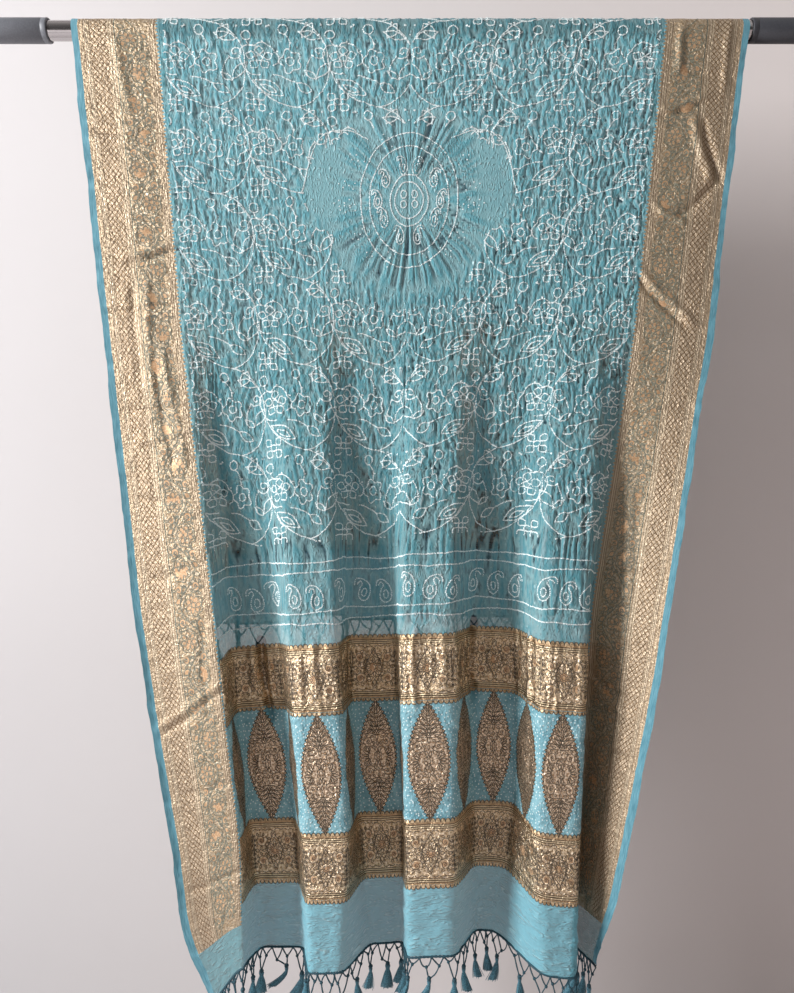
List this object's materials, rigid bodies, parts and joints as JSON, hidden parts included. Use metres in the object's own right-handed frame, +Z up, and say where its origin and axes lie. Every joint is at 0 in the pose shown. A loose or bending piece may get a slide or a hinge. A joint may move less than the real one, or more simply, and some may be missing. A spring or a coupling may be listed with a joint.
{
  "type": "dupatta stole draped over a clothes rail",
  "caption": "Tie-dyed dupatta with woven gold borders, a medallion end and a knotted tassel fringe, hung over a round clothes rail.",
  "frame": {"origin": "on the axis of the clothes rail, half way along it, where the rail carries the cloth", "axes": "+Z up, +X along the rail to a viewer's right, -Y towards the viewer who sees the long front fall"},
  "size_m": [1.12, 0.1336, 1.3642],
  "materials": {
    "teal_cotton": "crinkled tie-dyed cotton, slightly sheer",
    "selvedge_cotton": "plain woven edge",
    "gold_zari": "woven metal-thread brocade with a soft sheen",
    "medallion_brocade": "teal ground with woven metal-thread lenses",
    "tassel_thread": "twisted dark thread",
    "chromed_tube": "polished",
    "grey_sleeve": "satin",
    "dark_sleeve": "satin"
  },
  "bodies": {
    "root": {"back_band_lower": "gold_zari", "back_band_upper": "gold_zari", "back_border_left": "gold_zari", "back_border_right": "gold_zari", "back_corner_left": "teal_cotton", "back_corner_right": "teal_cotton", "back_field": "teal_cotton", "back_fringe_left": "tassel_thread", "back_fringe_middle": "tassel_thread", "back_fringe_right": "tassel_thread", "back_medallions": "medallion_brocade", "back_plain_end": "teal_cotton", "back_selvedge_left": "selvedge_cotton", "back_selvedge_right": "selvedge_cotton", "front_band_lower": "gold_zari", "front_band_upper": "gold_zari", "front_border_left": "gold_zari", "front_border_right": "gold_zari", "front_corner_left": "teal_cotton", "front_corner_right": "teal_cotton", "front_field": "teal_cotton", "front_fringe_left": "tassel_thread", "front_fringe_middle": "tassel_thread", "front_fringe_right": "tassel_thread", "front_medallions": "medallion_brocade", "front_plain_end": "teal_cotton", "front_selvedge_left": "selvedge_cotton", "front_selvedge_right": "selvedge_cotton", "over_border_left": "gold_zari", "over_border_right": "gold_zari", "over_field": "teal_cotton", "over_selvedge_left": "selvedge_cotton", "over_selvedge_right": "selvedge_cotton", "rail_sleeve_left": "grey_sleeve", "rail_sleeve_right": "dark_sleeve", "rail_tube": "chromed_tube"}
  },
  "joints": []
}
